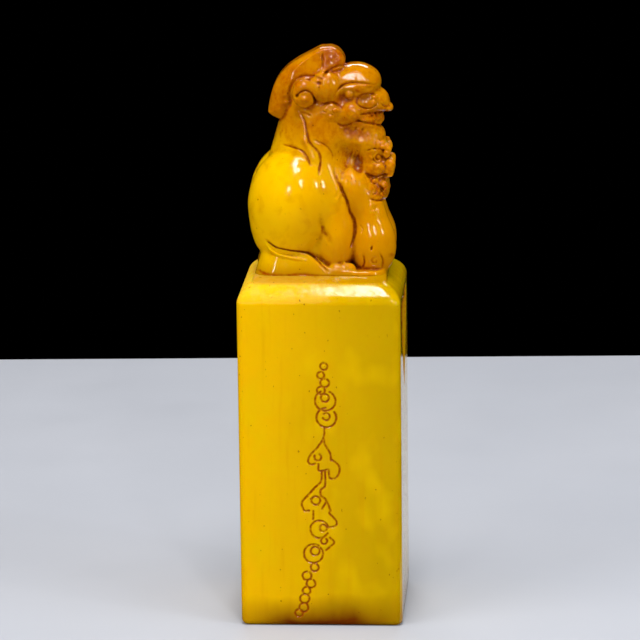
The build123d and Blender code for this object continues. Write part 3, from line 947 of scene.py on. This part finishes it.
def carved_colour(s, x, z, clouds):
    """Knob: honey towards the face, umber at the plinth, amber veins and head, tea patches."""
    cloudy_x = s.math("ADD", x, s.math("MULTIPLY", clouds, 12 * MM))
    cloudy_z = s.math("ADD", z, s.math("MULTIPLY", clouds, 6 * MM))
    colour = s.mix(s.between(cloudy_x, 0.0, 11 * MM), LEMON, HONEY)
    plinth = s.between(cloudy_z, 60.5 * MM, 57.5 * MM, 0.0, 0.85)
    plinth = s.math("MULTIPLY", plinth, s.between(x, 7 * MM, 4 * MM))
    colour = s.mix(plinth, colour, UMBER)
    colour = s.mix(s.between(cloudy_z, 75 * MM, 81 * MM), colour, AMBER)
    veins = s.between(s.noise(2.4, detail=5.0, distortion=0.6), 0.5, 0.75, 0.0, 0.45)
    colour = s.mix(veins, colour, AMBER)
    tea = s.between(s.noise(1.2, detail=6.0, roughness=0.6), 0.48, 0.68, 0.0, 0.5)
    return s.mix(s.math("MULTIPLY", tea, s.between(cloudy_z, 73 * MM, 79 * MM)), colour, RUST_AND_SHADE)


def column_colour(s, x, z, clouds):
    """Column: olive towards +X, gold patches, upright streaks, brown foot, and umber painted shade on the
    top at the foot of the plinth.
    """
    cloudy_x = s.math("ADD", x, s.math("MULTIPLY", clouds, 12 * MM))
    colour = s.mix(s.between(cloudy_x, -4 * MM, 17 * MM, 0.0, 0.9), LEMON, OLIVE)
    patches = s.between(s.noise(6.0, detail=2.0, stretch=(1, 1, 1.6)), 0.52, 0.72, 0.0, 0.7)
    colour = s.mix(patches, colour, GOLD)
    streaks = s.noise(0.9, detail=4.0, stretch=(1, 1, 14))
    colour = s.mix(s.between(streaks, 0.55, 0.85, 0.0, 0.3), colour, HONEY)
    low_z = s.math("SUBTRACT", z, s.math("MULTIPLY", clouds, 4 * MM))
    outwards = s.between(s.math("ABSOLUTE", x), 5 * MM, 11 * MM, 1.0, 0.45)
    foot = s.math("MULTIPLY", s.between(low_z, 3.0 * MM, -1.0 * MM), outwards)
    colour = s.mix(foot, colour, FOOT_BROWN)
    # Painted shade: the top darkens to umber where the knob's plinth stands on it
    return s.mix(s.between(z, 53.5 * MM, 53.9 * MM, 0.0, 0.7), colour, UMBER)


def shoulder_wear(s, x, z):
    """How dull the column is: only on the shoulders, in patches, and more towards -X."""
    shoulder = s.between(z, 50.9 * MM, 51.5 * MM)
    patches = s.between(s.noise(1.3, detail=5.0), 0.42, 0.62, 0.0, 0.5)
    patches = s.math("MULTIPLY", patches, s.between(x, 7 * MM, -3 * MM, 0.05, 1.0))
    dull = s.math("ADD", patches, s.between(x, 2 * MM, -6 * MM, 0.0, 0.5))
    return s.math("MULTIPLY", shoulder, dull)


def stone(name, carved, inked=False):
    """Polished translucent yellow stone: clouds, streaks, specks, rust in its recesses, and painted shade
    on the knob's crest and nape.
    """
    s = Shader(name)
    split = s.node("ShaderNodeSeparateXYZ")
    s.feed(split.inputs[0], s.place)
    x, z = split.outputs[0], split.outputs[2]
    clouds = s.noise(9.0, detail=4.0, stretch=(1, 1, 1.8))
    colour = (carved_colour if carved else column_colour)(s, x, z, clouds)
    specks = s.between(s.noise(0.6, detail=0.5), 0.775, 0.79)
    colour = s.mix(s.math("MULTIPLY", specks, 0.7), colour, SPECK)

    # Rust in the recesses, painted shade on the crest's back and the nape, and red paste
    mark = s.node("ShaderNodeAttribute", attribute_name="stain_and_shade").outputs["Fac"]
    mottle = s.between(s.noise(0.5, detail=5.0), 0.3, 0.7, 0.35, 1.3)
    mottled_stain_and_shade = s.math("MULTIPLY", mark, mottle, clamp=True)
    colour = s.mix(s.between(mottled_stain_and_shade, 0.08, 0.7, 0.0, 0.92), colour, RUST_AND_SHADE)
    colour = s.mix(s.between(mottled_stain_and_shade, 0.75, 1.1, 0.0, 0.6), colour, DEEP_RUST)
    paint = 0.75 if inked else s.node("ShaderNodeAttribute", attribute_name="paint").outputs["Fac"]
    patchy = s.between(s.noise(0.6, detail=4.0), 0.3, 0.6, 0.4, 1.0)
    colour = s.mix(s.math("MULTIPLY", paint, patchy, clamp=True), colour, RED_PASTE)
    s.feed(s.shader.inputs["Base Color"], colour)

    # Polish, duller where it is worn, stained or painted with shade, with fine upright scratches and soft
    # waves
    rough = s.between(s.noise(1.6, detail=4.0), 0.3, 0.7, 0.05, 0.12)
    if not carved:
        rough = s.math("ADD", rough, shoulder_wear(s, x, z))
    rough = s.math("ADD", rough, s.between(mottled_stain_and_shade, 0.3, 1.0, 0.0, 0.12))
    s.feed(s.shader.inputs["Roughness"], rough)
    scratches = s.math("MULTIPLY", s.noise(0.12, detail=3.0, stretch=(1, 1, 9)), 0.06)
    s.bump(s.math("ADD", scratches, s.noise(2.2, detail=3.0)), 0.06)
    for socket, value in STONE_INPUTS.items():
        s.shader.inputs[socket].default_value = value
    return s.material


# Table top, in four strips: its near edge, the line of the column's front, the far edge, which
# slants, and half its width. Only the strip behind that line and between the two MIRRORED ends
# shows in the polish of the stone.
TABLE_NEAR = -1200.0
TABLE_MIDDLE = -12.6
TABLE_FAR = 164.85
TABLE_SLANT = 0.0402
TABLE_HALF = 900.0
MIRRORED_LEFT, MIRRORED_RIGHT = 12.6, 45.0


def floor_material():
    """Pale studio table with a soft sheen."""
    s = Shader("table_paper")
    colour = s.mix(s.noise(40.0, detail=2.0), rgb(177, 181, 191), rgb(185, 188, 197))
    s.feed(s.shader.inputs["Base Color"], colour)
    s.feed(s.shader.inputs["Roughness"], s.between(s.noise(15.0), 0.3, 0.7, 0.5, 0.6))
    s.bump(s.noise(0.8, detail=4.0), 0.01)
    return s.material


def set_material(piece, material):
    piece.data.materials.clear()
    piece.data.materials.append(material)


def build_floor(name, left, right, near=TABLE_NEAR, far=None):
    """One strip of the table top, out to the slanting far edge if no other end is given."""
    cells = 8
    points = []
    for back in range(cells + 1):
        for across in range(cells + 1):
            x = left + (right - left) * across / cells
            end = TABLE_FAR + TABLE_SLANT * x if far is None else far
            points.append((x, near + (end - near) * back / cells, 0.0))
    row = cells + 1
    faces = [
        (j * row + i, j * row + i + 1, (j + 1) * row + i + 1, (j + 1) * row + i)
        for j in range(cells)
        for i in range(cells)
    ]
    return make_mesh(name, points, faces)


# Lights, as (name, place, aim, width, height, watts), some also with their colour and whether
# the polish of the stone shows them
SEAL_MIDDLE = (0, 0, 50)
LIGHTS = (
    # Wide boxes that light the stone
    ("top_box", (40, -220, 620), SEAL_MIDDLE, 700, 500, 1.9, (1.0, 0.98, 0.95), False),
    ("left_box", (-520, -380, 330), SEAL_MIDDLE, 460, 520, 2.6, (1.0, 0.97, 0.92), False),
    ("right_box", (520, -260, 300), SEAL_MIDDLE, 420, 420, 1.4, (0.95, 0.98, 1.0), False),
    # Boxes overhead and strips around, which make the highlights
    ("shoulder_box", (-1, -170, 620), (-1, -170, 0), 62, 460, 1.8),
    ("shoulder_edge", (-45, -170, 620), (-45, -170, 0), 26, 460, 0.06),
    ("crown_box", (80, -280, 620), (80, -280, 0), 70, 140, 0.6),
    ("back_strip", (-10, 420, 400), SEAL_MIDDLE, 360, 60, 0.8),
    ("front_strip", (185, -560, 430), SEAL_MIDDLE, 46, 150, 0.5),
    ("right_strip", (560, -300, 330), SEAL_MIDDLE, 40, 130, 0.45),
    ("left_strip", (-150, -560, 300), SEAL_MIDDLE, 30, 110, 0.26),
)


def add_light(name, place, aim, width, height, power, colour=(1, 1, 1), reflected=True):
    """A soft rectangular light, in millimetres and watts."""
    light = bpy.data.lights.new(name, "AREA")
    light.shape = "RECTANGLE"
    light.size, light.size_y = width * MM, height * MM
    light.energy, light.color = power, colour
    lamp = bpy.data.objects.new(name, light)
    lamp.location = Vector(place) * MM
    lamp.rotation_euler = (Vector(aim) - Vector(place)).to_track_quat("-Z", "Y").to_euler()
    lamp.visible_glossy = reflected
    bpy.context.scene.collection.objects.link(lamp)


def add_camera():
    """Camera in front of the seal, a little to its right and above it."""
    lens = bpy.data.cameras.new("view")
    lens.lens, lens.sensor_width = CAMERA_LENS, CAMERA_SENSOR
    lens.clip_start, lens.clip_end = 0.01, 20
    camera = bpy.data.objects.new("view", lens)
    aim = (CAMERA_TARGET - CAMERA_PLACE).to_track_quat("-Z", "Y").to_matrix().to_4x4()
    roll = Matrix.Rotation(radians(CAMERA_ROLL), 4, "Z")
    camera.matrix_world = Matrix.Translation(CAMERA_PLACE * MM) @ aim @ roll
    bpy.context.scene.collection.objects.link(camera)
    bpy.context.scene.camera = camera


def set_up_studio():
    """Camera, dark surroundings and soft lights."""
    add_camera()
    world = bpy.data.worlds.new("dark_studio")
    world.use_nodes = True
    world.node_tree.nodes["Background"].inputs[0].default_value = (0.0, 0.0, 0.0, 1)
    bpy.context.scene.world = world
    bpy.context.scene.view_settings.view_transform = "Standard"
    for light in LIGHTS:
        add_light(*light)


knob = sculpt_knob()
set_material(knob, stone("knob_stone_polished", carved=True))
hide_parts("knob_plinth", "beast_knob")
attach(knob, "root")

column_stone = stone("column_stone_polished", carved=False)
column = build_column()
set_material(column, column_stone)
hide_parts("seal_column")
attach(column, "root")
set_material(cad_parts["sealing_face"], stone("sealing_stone_inked", carved=False, inked=True))

paper = floor_material()
table = (
    build_floor("table_left", -TABLE_HALF, MIRRORED_LEFT),
    build_floor("table_right", MIRRORED_RIGHT, TABLE_HALF),
    build_floor("table_front", MIRRORED_LEFT, MIRRORED_RIGHT, far=TABLE_MIDDLE),
    build_floor("table_back", MIRRORED_LEFT, MIRRORED_RIGHT, near=TABLE_MIDDLE),
)
for strip in table:
    set_material(strip, paper)
    strip.visible_glossy = strip.name == "table_back"
set_up_studio()
